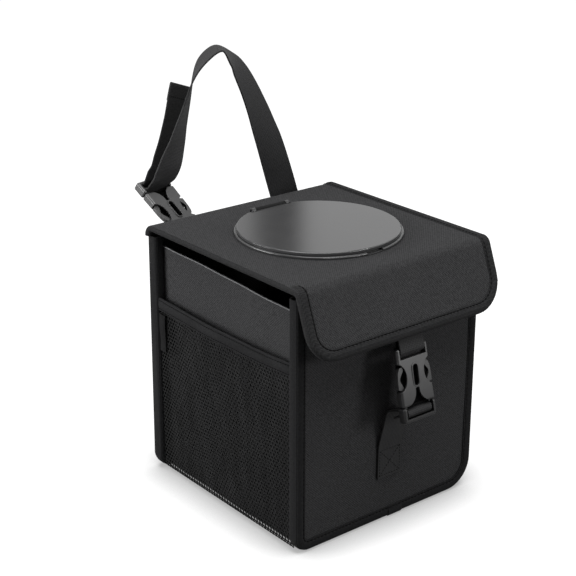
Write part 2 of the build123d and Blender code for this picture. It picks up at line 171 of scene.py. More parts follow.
def outward(piece):
    edit(piece)
    bpy.ops.mesh.normals_make_consistent(inside=False)
    done()


def thicken(piece, thickness, offset=0):
    modify(piece, "SOLIDIFY", thickness=thickness, offset=offset)
    outward(piece)


def cut_off(piece, point, normal, fill=False):
    """Trims away what lies beyond a plane."""
    edit(piece)
    bpy.ops.mesh.bisect(plane_co=point, plane_no=normal, clear_outer=True, use_fill=fill)
    done()


def corner(before, here, after, radius):
    """Where a rounded corner starts and ends, its middle and its axis and angle."""
    come = (here - before).normalized()
    go = (after - here).normalized()
    angle = come.angle(go)
    reach = radius * tan(angle / 2)
    first = here - come * reach
    axis = come.cross(go).normalized()
    middle = first + axis.cross(come) * radius
    return first, here + go * reach, middle, axis, angle


def follow(piece, corners, radii, cuts=1, steps=8):
    """Extrudes a section along straight runs and spins it round the corners between them."""
    corners = [Vector(point) for point in corners]
    edit(piece)
    place = corners[0]
    for index, radius in enumerate(radii):
        first, last, middle, axis, angle = corner(*corners[index:index + 3], radius)
        for _ in range(cuts):
            bpy.ops.mesh.extrude_region_move(TRANSFORM_OT_translate={"value": (first - place) / cuts})
        bpy.ops.mesh.spin(steps=steps, angle=-angle, center=middle, axis=axis)
        place = last
    for _ in range(cuts):
        bpy.ops.mesh.extrude_region_move(TRANSFORM_OT_translate={"value": (corners[-1] - place) / cuts})
    bpy.ops.mesh.select_all(action="SELECT")
    bpy.ops.mesh.normals_make_consistent(inside=False)
    done()


def rounded(corners, radii, steps=6):
    """Points of a line with rounded corners."""
    corners = [Vector(point) for point in corners]
    points = [corners[0]]
    for index, radius in enumerate(radii):
        first, _, middle, axis, angle = corner(*corners[index:index + 3], radius)
        for step in range(steps + 1):
            arm = Matrix.Rotation(angle * step / steps, 3, axis) @ (first - middle)
            points.append(middle + arm)
    points.append(corners[-1])
    return points


def even(points, pitch):
    """The same line with points at an even pitch."""
    result = [points[0]]
    left = pitch
    for here, there in zip(points, points[1:]):
        length = (there - here).length
        while left <= length:
            result.append(here.lerp(there, left / length))
            left += pitch
        left -= length
    result.append(points[-1])
    return result


def ribbon(name, stations, width=webbing_width, thickness=webbing_thickness):
    """Webbing along stations of a centre and the direction of its width, with its own map in metres."""
    half = width / 2
    deep = thickness / 2
    edge = half - 0.12
    edge_deep = deep * 0.6
    face = [(half * share, deep) for share in (-0.965, -0.5, 0.0, 0.5, 0.965)]
    face += [(edge, edge_deep), (half, 0.0), (edge, -edge_deep)]
    section = face + [(-across, -out) for across, out in face]
    ring = len(section)
    last = ring * (len(stations) - 1)
    points = []
    faces = [list(range(ring)), list(range(last + ring - 1, last - 1, -1))]
    lengths = [0]
    for (here, _), (there, _) in zip(stations, stations[1:]):
        lengths.append(lengths[-1] + (there - here).length)
    for index, (centre, across) in enumerate(stations):
        along = stations[min(index + 1, len(stations) - 1)][0] - stations[max(index - 1, 0)][0]
        out = across.cross(along).normalized()
        points += [centre + across * aside + out * raised for aside, raised in section]
    for row in range(len(stations) - 1):
        for column in range(ring):
            a = row * ring + column
            b = row * ring + (column + 1) % ring
            faces.append((a, b, b + ring, a + ring))
    piece = start(name, points, faces)
    layer = piece.data.uv_layers.new(name="webbing")
    for loop in piece.data.loops:
        row, column = divmod(loop.vertex_index, ring)
        layer.data[loop.index].uv = (lengths[row] / 1000, (section[column][0] + half) / 1000)
    outward(piece)
    return piece


def smooth_run(stops, steps):
    """Smooth run through stops of x, y, z and the turn of the width about Z."""
    stops = [Vector(stop) for stop in stops]
    stops = [2 * stops[0] - stops[1]] + stops + [2 * stops[-1] - stops[-2]]
    run = []
    for a, b, c, d in zip(stops, stops[1:], stops[2:], stops[3:]):
        square = 2 * a - 5 * b + 4 * c - d
        cube = 3 * b - a - 3 * c + d
        for step in range(steps):
            t = step / steps
            run.append(0.5 * (2 * b + (c - a) * t + square * t * t + cube * t**3))
    run.append(stops[-2])
    return run


def turned_stations(run):
    """Stations of a ribbon whose width turns about Z."""
    stations = []
    for index, stop in enumerate(run):
        along = (run[min(index + 1, len(run) - 1)] - run[max(index - 1, 0)]).xyz.normalized()
        across = Vector((cos(radians(stop.w)), sin(radians(stop.w)), 0))
        across = (across - along * across.dot(along)).normalized()
        stations.append((stop.xyz, across))
    return stations


def sew(name, points, pitch, size, thread, body):
    """A row of stitches along a line: one stitch, repeated along the line and bent to it."""
    length, thickness = size
    data = bpy.data.curves.new(name + "_line", "CURVE")
    data.dimensions = "3D"
    spline = data.splines.new("POLY")
    spline.points.add(len(points) - 1)
    for knot, point in zip(spline.points, points):
        knot.co = (*point, 1)
    line = bpy.data.objects.new(name + "_line", data)
    bpy.context.scene.collection.objects.link(line)
    bpy.context.view_layer.update()
    let_go()
    bpy.ops.mesh.primitive_uv_sphere_add(segments=6, ring_count=4, radius=1)
    stitch = bpy.context.object
    stitch.name = name
    stitch.data.transform(Matrix.Rotation(pi / 2, 4, "Y"))
    stitch.data.transform(Matrix.Diagonal((length / 2, thickness / 2, thickness / 2, 1)))
    modify(
        stitch,
        "ARRAY",
        fit_type="FIT_CURVE",
        curve=line,
        use_relative_offset=False,
        use_constant_offset=True,
        constant_offset_displace=(pitch, 0, 0),
    )
    modify(stitch, "CURVE", object=line, deform_axis="POS_X")
    bpy.data.objects.remove(line)
    return settle(stitch, thread, body)


def lay_cloth(piece, lay):
    """Lays the weave on a piece: its own map in metres, from the place of every point."""
    layer = piece.data.uv_layers.new(name="cloth")
    for loop in piece.data.loops:
        across, along = lay(piece.data.vertices[loop.vertex_index].co)
        layer.data[loop.index].uv = (across / 1000, along / 1000)
    return piece


def upright_lay(point):
    return point.x, point.z


def settle(piece, finish, body, nodes=(), angle=35):
    """Sets a finished piece to metres, gives it its finish and, unless it bends across a joint, its body."""
    piece.data.transform(Matrix.Scale(0.001, 4))
    piece.data.materials.clear()
    piece.data.materials.append(finish)
    pick(piece)
    bpy.ops.object.shade_smooth_by_angle(angle=radians(angle))
    if body:
        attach(piece, body)
    if nodes:
        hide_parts(*nodes)
    return piece


# Finishes, with their lengths in metres
def finish_tree(name):
    finish = bpy.data.materials.new(name)
    finish.use_nodes = True
    tree = finish.node_tree
    return finish, tree, tree.nodes["Principled BSDF"]


def grey(level, blue=0.0):
    """A grey with a little more blue."""
    return level, level, level + blue


def feed(tree, node, **sockets):
    """Gives each socket a value or a link. A socket is called by its name, or by i and its number."""
    for key, value in sockets.items():
        socket = node.inputs[int(key[1:])] if key[1:].isdigit() else node.inputs[key.replace("_", " ")]
        if isinstance(value, bpy.types.NodeSocket):
            tree.links.new(value, socket)
        else:
            socket.default_value = value


def put(tree, kind, settings=None, **sockets):
    """Adds a node with its settings and sockets."""
    added = tree.nodes.new(kind)
    for key, value in (settings or {}).items():
        setattr(added, key, value)
    feed(tree, added, **sockets)
    return added


def reckon(tree, operation, a, b):
    return put(tree, "ShaderNodeMath", {"operation": operation}, i0=a, i1=b).outputs[0]


def plus(tree, a, b):
    return reckon(tree, "ADD", a, b)


def times(tree, a, b):
    return reckon(tree, "MULTIPLY", a, b)


def ranged(tree, value, low, high, first=0.0, last=1.0):
    """Runs from first to last while a value runs from low to high."""
    return put(tree, "ShaderNodeMapRange", i0=value, i1=low, i2=high, i3=first, i4=last).outputs[0]


def spread(tree, texture, low, high):
    """Runs from low to high over the middle half of a texture's values."""
    return ranged(tree, texture, 0.25, 0.75, low, high)


def dimmed(tree, colour, share):
    return put(tree, "ShaderNodeVectorMath", {"operation": "SCALE"}, i0=colour, Scale=share).outputs[0]


def place_on(tree):
    return put(tree, "ShaderNodeTexCoord").outputs["Object"]


def place_along(tree, axis):
    return put(tree, "ShaderNodeSeparateXYZ", i0=place_on(tree)).outputs[axis]


def wave(tree, place, direction, pitch, distortion):
    """Bands along an axis at a pitch in metres."""
    return put(
        tree,
        "ShaderNodeTexWave",
        {"wave_type": "BANDS", "bands_direction": direction, "wave_profile": "SIN"},
        Vector=place,
        Scale=pi / (10 * pitch),
        Distortion=distortion,
        Detail=1.0,
        Detail_Scale=0.02,
    ).outputs["Fac"]


def noise(tree, place, scale, detail):
    speckle = put(tree, "ShaderNodeTexNoise", Vector=place, Scale=scale, Detail=detail, Roughness=0.6)
    return speckle.outputs["Fac"]


def blend_colours(tree, share, dark, light):
    ramp = put(tree, "ShaderNodeValToRGB", Fac=share)
    ramp.color_ramp.elements[0].color = (*dark, 1)
    ramp.color_ramp.elements[1].color = (*light, 1)
    ramp.color_ramp.elements[0].position = 0.15
    ramp.color_ramp.elements[1].position = 0.85
    return ramp.outputs["Color"]


def shaded_in_recesses(tree, colour, reach, least):
    """Painted shade: darkens a colour where the surface is tucked in."""
    sky = put(tree, "ShaderNodeAmbientOcclusion", {"samples": 6}, Distance=reach).outputs["AO"]
    return dimmed(tree, colour, ranged(tree, sky, 0.35, 0.95, least, 1.0))


def grained(tree, strength, depth, height, **base):
    bump = put(tree, "ShaderNodeBump", Strength=strength, Distance=depth, Height=height, **base)
    return bump.outputs[0]


def woven(
    name, dark, light, pitch, depth, rough=(0.78, 0.95), specular=0.07, laid=False, shade_reach=0.003, fold_shading=0.0
):
    """Plain weave with uneven yarns and faint wear, on the piece's own map or on faces of any direction."""
    finish, tree, shader = finish_tree(name)
    place = place_on(tree)
    if laid:
        cloth = put(tree, "ShaderNodeUVMap", {"uv_map": "cloth"}).outputs[0]
        warp, weft = (wave(tree, cloth, axis, pitch, distortion=0.5) for axis in "XY")
        crossed = times(tree, times(tree, warp, weft), 2.0)
        weave = plus(tree, reckon(tree, "SUBTRACT", crossed, plus(tree, warp, weft)), 1.0)
    else:
        x, y, z = (wave(tree, place, axis, pitch, distortion=0.6) for axis in "XYZ")
        weave = plus(tree, times(tree, x, y), times(tree, y, z))
        weave = times(tree, plus(tree, weave, times(tree, z, x)), 0.5)
    slub = noise(tree, place, scale=900.0, detail=2.0)
    fleck = spread(tree, noise(tree, place, scale=640.0, detail=2.0), -0.5, 1.1)
    wear = noise(tree, place, scale=22.0, detail=4.0)
    share = times(tree, weave, 0.45)
    for texture, weight in ((slub, 0.25), (fleck, 0.22), (wear, 0.15)):
        share = plus(tree, share, times(tree, texture, weight))
    # Painted shade darkens the weave's colour in recesses.
    colour = shaded_in_recesses(tree, blend_colours(tree, share, dark, light), shade_reach, least=0.35)
    # Painted light and shade of hanging folds: long streaks that lighten and darken the colour.
    if fold_shading:
        hanging = put(tree, "ShaderNodeMapping", Vector=place, Scale=(1, 1, 0.16)).outputs[0]
        fold_shade = spread(tree, noise(tree, hanging, scale=75.0, detail=2.0), 1 - fold_shading, 1 + fold_shading)
        colour = dimmed(tree, colour, fold_shade)
    grain = grained(tree, 0.55, depth, plus(tree, weave, times(tree, slub, 0.6)))
    feed(tree, shader, Base_Color=colour, Roughness=spread(tree, wear, *rough), Normal=grain)
    feed(tree, shader, Specular_IOR_Level=specular, Sheen_Weight=0.01, Sheen_Roughness=0.45)
    return finish


def webbed(name, dark, light, shade_reach, least):
    """Ribbed webbing, from the piece's own map in metres: length along U, width along V."""
    rib_pitch = 0.0012
    cord_pitch = 0.0016
    finish, tree, shader = finish_tree(name)
    place = put(tree, "ShaderNodeUVMap", {"uv_map": "webbing"}).outputs[0]
    ribs = wave(tree, place, "X", rib_pitch, distortion=0.3)
    cords = wave(tree, place, "Y", cord_pitch, distortion=0.3)
    slub = noise(tree, place, scale=700.0, detail=2.0)
    weave = times(tree, plus(tree, ribs, times(tree, cords, 0.7)), 0.6)
    share = plus(tree, times(tree, weave, 0.6), times(tree, slub, 0.4))
    # Painted shade darkens the webbing's colour in recesses, under and round the buckles.
    colour = shaded_in_recesses(tree, blend_colours(tree, share, dark, light), shade_reach, least)
    grain = grained(tree, strength=0.6, depth=0.0003, height=weave)
    feed(tree, shader, Base_Color=colour, Roughness=spread(tree, slub, 0.55, 0.75), Normal=grain)
    feed(tree, shader, Specular_IOR_Level=0.2, Sheen_Weight=0.03)
    return finish


def moulded(name, dark, light, rough, grain, specular=0.5, edge=0.0003, shade_reach=0.004, least=0.4):
    """Moulded plastic with softened edges, a fine grain and slightly uneven gloss."""
    finish, tree, shader = finish_tree(name)
    place = place_on(tree)
    fine = noise(tree, place, scale=1500.0, detail=2.0)
    broad = noise(tree, place, scale=30.0, detail=3.0)
    # Painted shade darkens the plastic's colour in recesses.
    colour = shaded_in_recesses(tree, blend_colours(tree, broad, dark, light), shade_reach, least)
    soft_edge = put(tree, "ShaderNodeBevel", {"samples": 4}, Radius=edge).outputs[0]
    skin = grained(tree, grain, depth=0.0001, height=fine, Normal=soft_edge)
    feed(tree, shader, Base_Color=colour, Roughness=spread(tree, broad, *rough), Normal=skin)
    feed(tree, shader, Specular_IOR_Level=specular)
    return finish


def steel(name, dark, light):
    """Drawn steel with fine lines."""
    finish, tree, shader = finish_tree(name)
    lines = wave(tree, place_on(tree), "X", pitch=0.0004, distortion=0.5)
    colour = blend_colours(tree, lines, dark, light)
    feed(tree, shader, Base_Color=colour, Roughness=spread(tree, lines, 0.22, 0.34), Metallic=1.0)
    return finish


panel_fabric = woven(
    "panel_fabric", grey(0.014, 0.0005), grey(0.066, 0.002), pitch=0.0020, depth=0.0003, laid=True
)
# One tape in two copies, painted light and shade: the seams' copy darker as in shade, the lid's copy lighter
# as lit.
binding_tape = woven(
    "binding_tape", grey(0.011, 0.0005), grey(0.027, 0.001), pitch=0.0011, depth=0.0003, shade_reach=0.002
)
lit_lid_tape_cloth = woven(
    "lit_lid_tape_cloth", grey(0.014, 0.0005), grey(0.040, 0.001), pitch=0.0011, depth=0.0003, shade_reach=0.002
)
hem_tape = woven("hem_tape", grey(0.012, 0.0005), grey(0.027, 0.001), pitch=0.0012, depth=0.0003)
pocket_net = woven(
    "pocket_net", grey(0.003), grey(0.014, 0.0005), pitch=0.0009, depth=0.0002,
    rough=(0.6, 0.8), specular=0.15, fold_shading=0.6,
)
edge_piping = woven("edge_piping", grey(0.14, 0.005), grey(0.24, 0.005), pitch=0.0009, depth=0.0002)
tag_tape = woven(
    "tag_tape", grey(0.004), grey(0.011, 0.0005), pitch=0.0006, depth=0.0001, rough=(0.6, 0.8), specular=0.1
)
sewing_thread = woven("sewing_thread", grey(0.003), grey(0.007), pitch=0.0005, depth=0.0001)
seam_thread = woven("seam_thread", grey(0.006), grey(0.014), pitch=0.0005, depth=0.0001)
# Webbing in lit and shaded copies, painted light and shade: the loop lighter with little painted shade, its
# falling length lighter still, the tail darker.
webbing = webbed("webbing", grey(0.011, 0.0005), grey(0.030, 0.001), shade_reach=0.02, least=0.12)
lit_loop_webbing = webbed("lit_loop_webbing", grey(0.012, 0.0005), grey(0.033, 0.001), shade_reach=0.004, least=0.5)
lit_fall_webbing = webbed("lit_fall_webbing", grey(0.019, 0.0005), grey(0.052, 0.001), shade_reach=0.004, least=0.5)
shaded_tail_webbing = webbed("shaded_tail_webbing", grey(0.007, 0.0005), grey(0.018, 0.0005), shade_reach=0.02, least=0.12)
buckle_plastic = moulded(
    "buckle_plastic", grey(0.013, 0.0005), grey(0.017, 0.0005), rough=(0.36, 0.44), grain=0.2,
    specular=0.6, edge=0.0005, shade_reach=0.002, least=0.2,
)
# Near-black plastic for sheets that stand in for the shade inside the buckles.
painted_shade_black = moulded("painted_shade_black", grey(0.002), grey(0.004), rough=(0.7, 0.8), grain=0.2, specular=0.05)
ring_plastic = moulded("ring_plastic", grey(0.046, 0.001), grey(0.056, 0.001), rough=(0.20, 0.28), grain=0.1)
disc_plastic = moulded("disc_plastic", grey(0.055, 0.001), grey(0.061, 0.001), rough=(0.07, 0.10), grain=0.03)
pin_steel = steel("pin_steel", grey(0.10, 0.005), grey(0.16, 0.005))


def matt_shaded_knuckle(finish, edge_from, edge_to):
    """Matt behind the disc's straight edge, on its knuckle, and darkened there with painted shade."""
    tree = finish.node_tree
    shader = tree.nodes["Principled BSDF"]
    kept = ranged(tree, place_along(tree, "Y"), edge_from, edge_to, 1.0, 0.25)
    colour = shader.inputs["Base Color"].links[0].from_socket
    rough = shader.inputs["Roughness"].links[0].from_socket
    lost = reckon(tree, "SUBTRACT", 1.0, kept)
    feed(tree, shader, Base_Color=dimmed(tree, colour, kept), Roughness=plus(tree, rough, lost))
    feed(tree, shader, Specular_IOR_Level=times(tree, kept, 0.5))


def highlight_fading_low(finish, low, high, least, most):
    """Less gloss towards the lower end: a painted highlight that fades down the buckle."""
    tree = finish.node_tree
    gloss = ranged(tree, place_along(tree, "Z"), low, high, least, most)
    feed(tree, tree.nodes["Principled BSDF"], Specular_IOR_Level=gloss)


matt_shaded_knuckle(disc_plastic, edge_from=0.0510, edge_to=0.0518)
highlight_fading_low(buckle_plastic, low=0.104, high=0.140, least=0.33, most=1.0)

for name, finish in (
    ("opening_ring", ring_plastic),
    ("ring_retainer", ring_plastic),
    ("round_lid", disc_plastic),
    ("hinge_pin", pin_steel),
    ("front_socket", buckle_plastic),
    ("front_plug", buckle_plastic),
    ("hanging_socket", buckle_plastic),
    ("hanging_plug", buckle_plastic),
):
    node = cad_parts[name]
    node.data.materials.clear()
    node.data.materials.append(finish)


# Stiffened front and back panels
def panel(name, front, left, right):
    """A board covered in fabric, its lower corners trimmed to lie inside the bound seam."""
    side = -1 if front else 1
    board = 3.0
    low = 1.4
    edge_inset = 1.2
    face = panel_face - 0.2
    crown_height = 0.7
    crown_half = 84
    crown_middle = 104
    crown_reach = 96
    size = (2 * (half_width - edge_inset), panel_top - low)
    place = (0, side * face, (panel_top + low) / 2)
    piece = sheet(name, columns=46, rows=50, size=size, place=place)
    for sign, radius in ((-1, left), (1, right)):
        normal = Vector((sign, 0, -1)).normalized()
        centre = Vector((sign * (half_width - radius), 0, radius))
        cut_off(piece, centre + normal * (radius - corner_trim), normal)
    for vertex in piece.data.vertices:
        x, _, z = vertex.co
        crown = max(0, 1 - (x / crown_half) ** 4) * max(0, 1 - ((z - crown_middle) / crown_reach) ** 4)
        ripple = 0.25 * sin(x * 0.045 + 1.3) * sin(z * 0.038 + 0.4)
        vertex.co.y += side * (crown_height * crown + ripple)
    thicken(piece, board, side)
    return piece


front_cover = lay_cloth(panel("front_panel_cover", True, corner_left, corner_right), upright_lay)
back_cover = lay_cloth(panel("back_panel_cover", False, corner_back, corner_back), upright_lay)
settle(front_cover, panel_fabric, "bin", ["front_panel"])
settle(back_cover, panel_fabric, "bin", ["back_panel"])


# Sides and bottom in one strip, lower towards the front
def side_slope(y):
    """How far the top of a side lies below its full height."""
    back_drop = 0.7
    front_more = 5.6
    return back_drop + front_more * (side_half - y) / (2 * side_half)


def side_wave(y, z):
    """How far a side bends in near its top."""
    return 0.5 * sin(y * 0.05 + 0.8) + 0.3 * sin(y * 0.11 + z * 0.05)


def side_strip():
    thickness = 2.4
    base = 1.0
    bends = [3, 16]
    wave_from = 120
    places = divided(side_half, columns=24)
    outline = [(-side_face, y, side_top) for y in places]
    outline += [(-side_face + thickness, y, side_top) for y in reversed(places)]
    piece = start_section("side_strip", outline)
    ends = [(-side_face, side_top), (-side_face, base), (side_face, base), (side_face, side_top)]
    follow(piece, [(x, 0, z) for x, z in ends], bends, cuts=14, steps=6)
    for vertex in piece.data.vertices:
        x, y, z = vertex.co
        rise = max(0, (z - wave_from) / (side_top - wave_from))
        vertex.co.x += (1 if x < 0 else -1) * rise * side_wave(y, z)
        vertex.co.z -= rise * side_slope(y)
    return piece


strip = lay_cloth(side_strip(), lambda point: (point.y, point.z + side_face - abs(point.x)))
settle(strip, panel_fabric, "bin", ["gusset"])


def top_piping(side):
    """Light edge that shows along the top of a side."""
    radius = 0.5
    let_go()
    bpy.ops.mesh.primitive_circle_add(vertices=8, radius=radius, fill_type="NGON")
    piece = bpy.context.object
    piece.name = hand[side] + "_top_piping"
    stand_up(piece, (side * (side_face - 0.3), -side_half, side_top + 0.1))
    follow(piece, [(0, -side_half, 0), (0, side_half, 0)], [], cuts=24)
    for vertex in piece.data.vertices:
        y = vertex.co.y
        vertex.co.x -= side * side_wave(y, side_top)
        vertex.co.z -= side_slope(y)
    return settle(piece, edge_piping, "bin")


top_piping(-1)
top_piping(1)

# Tape folded over an edge: across from the edge, and from the outer face inwards
seam_tape = [
    (9.3, 0.95), (9.0, 0.45), (8.3, 0.35), (7.7, 0.85), (7.1, 0.30), (5.2, -0.15), (2.6, 0.0),
    (0.9, 0.8), (0.1, 2.3), (0.1, 5.5), (0.9, 7.0), (2.6, 7.7), (7.2, 7.8), (7.4, 7.0),
    (2.6, 6.8), (1.5, 6.1), (1.1, 5.2), (1.1, 2.5), (1.6, 1.6), (2.8, 1.1),
]
front_wrap = 1.3
back_wrap = 1.5


def seam(name, front, left, right, nodes):
    """Tape bound round the seam of a panel, down one side, along the bottom and up the other side."""
    way = 1 if front else -1
    wrap = front_wrap if front else back_wrap
    y = -half_depth * way
    flare_top = 0.6
    flare_more = 1.8
    flare_reach = 60
    outline = []
    for across, deep in seam_tape:
        wrapped = deep * wrap if deep > 1 else deep
        outline.append((-half_width + across, y + way * wrapped, panel_top))
    piece = start_section(name, outline)
    ends = [(-half_width, panel_top), (-half_width, 0), (half_width, 0), (half_width, panel_top)]
    follow(piece, [(x, y, z) for x, z in ends], [left, right], cuts=10, steps=10)
    if not front:
        for vertex in piece.data.vertices:
            flare = flare_top + flare_more * (1 - vertex.co.z / panel_top)
            vertex.co.x -= flare * min(1, max(0, -vertex.co.x / flare_reach))
    settle(piece, binding_tape, "bin", nodes, angle=50)
    sewn = y + way * 0.55
    side = half_width - stitch_inset
    top = panel_top - 1
    ends = [(-side, top), (-side, stitch_inset), (side, stitch_inset), (side, top)]
    line = rounded([(x, sewn, z) for x, z in ends], [left - stitch_inset, right - stitch_inset])
    sew(name + "_stitches", line, tape_stitch_pitch, tape_stitch, seam_thread, "bin")


def tape_end():
    """Where the tape of the front seam ends on itself, at the bottom."""
    begin = 1.5
    length = 14
    over_face = 0.55
    over_edge = 0.5
    outline = []
    for across, deep in seam_tape[:12]:
        back = deep * front_wrap - (over_face if deep < 3 else 0)
        up = max(0.05, across - (over_edge if across < 3 else 0))
        outline.append((begin, -half_depth + back, up))
    outline += [(begin, -half_depth + back, up) for back, up in ((9.0, 2.9), (3.0, 2.9), (1.2, 9.0))]
    piece = start_section("tape_end", outline)
    follow(piece, [(begin, 0, 0), (begin + length, 0, 0)], [], cuts=6)
    return settle(piece, binding_tape, "bin", angle=50)


tape_end()
seam("front_seam_tape", True, corner_left, corner_right, ["front_binding"])
seam("back_seam_tape", False, corner_back, corner_back, ["back_binding"])


# Net pockets: each crease runs from its y at the upper height to its y at the lower one
net_creases = [(30, -18), (76, 57), (-26, -61)]
crease_high = 130
crease_low = 40
crease_half = 3.5


def crease(y, z):
    """How strongly the net is creased at a place."""
    total = 0
    for high, low in net_creases:
        middle = low + (high - low) * (z - crease_low) / (crease_high - crease_low)
        total += exp(-(((y - middle) / crease_half) ** 2))
    return total * min(1, z / 30)


def pocket_sag(y):
    return max(0, 1 - (y / pocket_half) ** 2)


def net(side):
    """Six-sided meshes, hung in folds between the seams."""
    pitch = 3.5
    row = pitch * 3**0.5 / 2
    bar = 0.6
    thickness = 0.55
    weld = 0.05
    low = 1.6
    hem_lap = 5
    seam_gap = 1.5
    tuck_height = 9
    tuck = 0.045
    bulge = 1.2
    fold_depth = 0.75
    crease_depth = 1.3
    wander_up = 1.7
    wander_along = 1.6
    let_go()
    bpy.ops.mesh.primitive_circle_add(vertices=6, radius=pitch / 3**0.5, fill_type="NGON")
    piece = bpy.context.object
    piece.name = hand[side] + "_net"
    for shift, count in (((pitch, 0, 0), 50), ((pitch / 2, row, 0), 2), ((0, 2 * row, 0), 25)):
        modify(
            piece,
            "ARRAY",
            use_relative_offset=False,
            use_constant_offset=True,
            constant_offset_displace=shift,
            count=count,
            use_merge_vertices=True,
            merge_threshold=weld,
        )
    edit(piece)
    bpy.ops.mesh.remove_doubles(threshold=weld)
    bpy.ops.mesh.inset(thickness=bar, use_individual=True)
    bpy.ops.mesh.delete(type="FACE")
    done()
    stand_up(piece, (side * pocket_face, -pocket_half - 0.5, 1.2), pi / 2)
    cut_off(piece, (0, -pocket_half, 0), (0, -1, 0))
    cut_off(piece, (0, pocket_half, 0), (0, 1, 0))
    cut_off(piece, (0, 0, pocket_top - hem_lap), (0, 0, 1))
    cut_off(piece, (0, 0, low), (0, 0, -1))
    for vertex in piece.data.vertices:
        _, y, z = vertex.co
        sag = pocket_sag(y)
        high = (z - 2) / 150
        vertex.co.z -= hem_sag * sag * max(0, high) ** 2
        out = bulge * sag * sin(pi * min(1, max(0, high)) ** 0.7)
        fold = sin(y * 0.1 + z * 0.03) + 0.7 * sin(y * 0.23 - z * 0.025 + 1.0)
        out += fold_depth * fold * sag * max(0, high) * (1.25 - high)
        out += crease_depth * crease(y, z) * sag
        out -= max(0, tuck_height - z) ** 2 * tuck
        vertex.co.x += side * out
        loose = sag * min(1, max(0, z - 3) / 25)
        vertex.co.z += wander_up * loose * sin(y * 0.075 + z * 0.02)
        vertex.co.y += wander_along * loose * sin(z * 0.055 + y * 0.03 + 0.7)
        if side > 0 and z < corner_right:
            edge = half_width - corner_right + (corner_right**2 - (corner_right - z) ** 2) ** 0.5
            vertex.co.x = min(vertex.co.x, edge - seam_gap)
    thicken(piece, thickness)
    return settle(piece, pocket_net, "bin", [hand[side] + "_pocket"])


# Folded tape of a pocket's mouth: out from the net's face, and up from the tape's lower edge
hem_fold = [
    (-1.3, 1.2), (-1.3, 9.8), (-0.9, 10.8), (0.0, 11.2), (0.7, 10.7), (1.0, 9.6), (0.7, 9.0), (1.0, 8.4),
    (1.15, 5.5), (1.0, 2.5), (0.7, 1.9), (1.0, 1.3), (0.7, 0.3), (0.0, 0.0), (-0.9, 0.3),
]


def hem(side):
    name = hand[side] + "_hem"
    low = pocket_top - hem_height
    x = side * pocket_face
    bulge = 1.3
    sewn_out = 0.95
    piece = start_section(name, [(x + side * out, -pocket_half, low + z) for out, z in hem_fold])
    follow(piece, [(x, -pocket_half, low), (x, pocket_half, low)], [], cuts=40)

    def sagged(point):
        y = point[1]
        out = bulge * pocket_sag(y) + 0.3 * sin(y * 0.09)
        return Vector((point[0] + side * out, y, point[2] - hem_sag * pocket_sag(y)))

    for vertex in piece.data.vertices:
        vertex.co = sagged(vertex.co)
    settle(piece, hem_tape, "bin", [hand[side] + "_pocket_hem"], angle=50)
    for label, z in (("low", 1.9), ("high", 9.0)):
        line = [sagged((x + side * sewn_out, y, low + z)) for y in range(-86, 87, 4)]
        sew(f"{name}_{label}_stitches", line, hem_stitch_pitch, hem_stitch, sewing_thread, "bin")


for side in (-1, 1):
    net(side)
    hem(side)


# Bare tag in the back seam of the left pocket
def tag():
    width = 8.5
    height = 32
    thickness = 0.7
    middle = (-pocket_face - 1.2, 78.0, 126)
    seam_y = 82.5
    bow = 1.2
    piece = sheet("bare_tag", columns=8, rows=14, size=(width, height), place=middle, turn=pi / 2)
    for vertex in piece.data.vertices:
        _, y, z = vertex.co
        vertex.co.x -= bow * sin((seam_y - y) / width * pi * 0.8) + 0.3 * sin(z * 0.2)
    thicken(piece, thickness)
    return settle(piece, tag_tape, "bin", ["side_tag"])


tag()


# Lid: top and front flap in one folded board, with tape round its sides and the flap
def lid_line(x, skin, length):
    """Corners of the lid's outer line from the back edge to the flap's end, raised by skin."""
    end = fold_point + flap_down * length - flap_inward * skin
    return [
        Vector((x, panel_face + skin, lid_low)),
        Vector((x, panel_face + skin, lid_top + skin)),
        Vector((x, fold_point.y - skin * tan(radians(45) - flap_tilt / 2), lid_top + skin)),
        Vector((x, end.y, end.z)),
    ]


def lid_cover():
    drill_depth = 40
    places = divided(lid_half - cover_inset, columns=40)
    outline = [(x, panel_face, lid_low) for x in places]
    outline += [(x, panel_face - cover_thickness, lid_low) for x in reversed(places)]
    piece = start_section("lid_board", outline)
    follow(piece, lid_line(0, 0, flap_length - cover_inset), [back_fold, front_fold], cuts=18, steps=8)
    tip = fold_point + flap_down * flap_length
    for sign, radius in ((-1, flap_corner), (1, flap_corner_right)):
        normal = (Vector((sign, 0, 0)) + flap_down).normalized()
        centre = tip - flap_down * radius + Vector((sign * (lid_half - radius), 0, 0))
        cut_off(piece, centre + normal * (radius - corner_trim), normal, fill=True)
    middle = (0, ring_y, lid_top)
    let_go()
    bpy.ops.mesh.primitive_cylinder_add(vertices=128, radius=ring_hole, depth=drill_depth, location=middle)
    drill = bpy.context.object
    modify(piece, "BOOLEAN", operation="DIFFERENCE", object=drill, solver="EXACT")
    bpy.data.objects.remove(drill)
    outward(piece)
    return piece


def lid_lay(point):
    """Length along the lid's top, and on down the flap."""
    top_band = 1.2
    if point.z > lid_top - top_band:
        return point.x, -point.y
    return point.x, (point - fold_point).dot(flap_down) - fold_point.y


settle(lay_cloth(lid_cover(), lid_lay), panel_fabric, "lid", ["lid_cover"])

# Tape of the lid: across from its edge, and from its outer face inwards
tape_under = 4.9
lid_tape = [
    (9.2, -0.05), (8.9, -0.5), (8.2, -0.6), (7.7, -0.1), (7.2, -0.65), (5.2, -1.1), (2.6, -0.9),
    (0.9, -0.2), (0.1, 0.9), (0.1, 3.2), (0.9, 4.5), (2.6, 5.0), (8.8, tape_under), (9.0, 4.1),
    (2.0, 4.1), (1.3, 3.4), (1.1, 2.9), (1.1, 1.2), (1.4, 0.5), (2.2, 0.0),
]


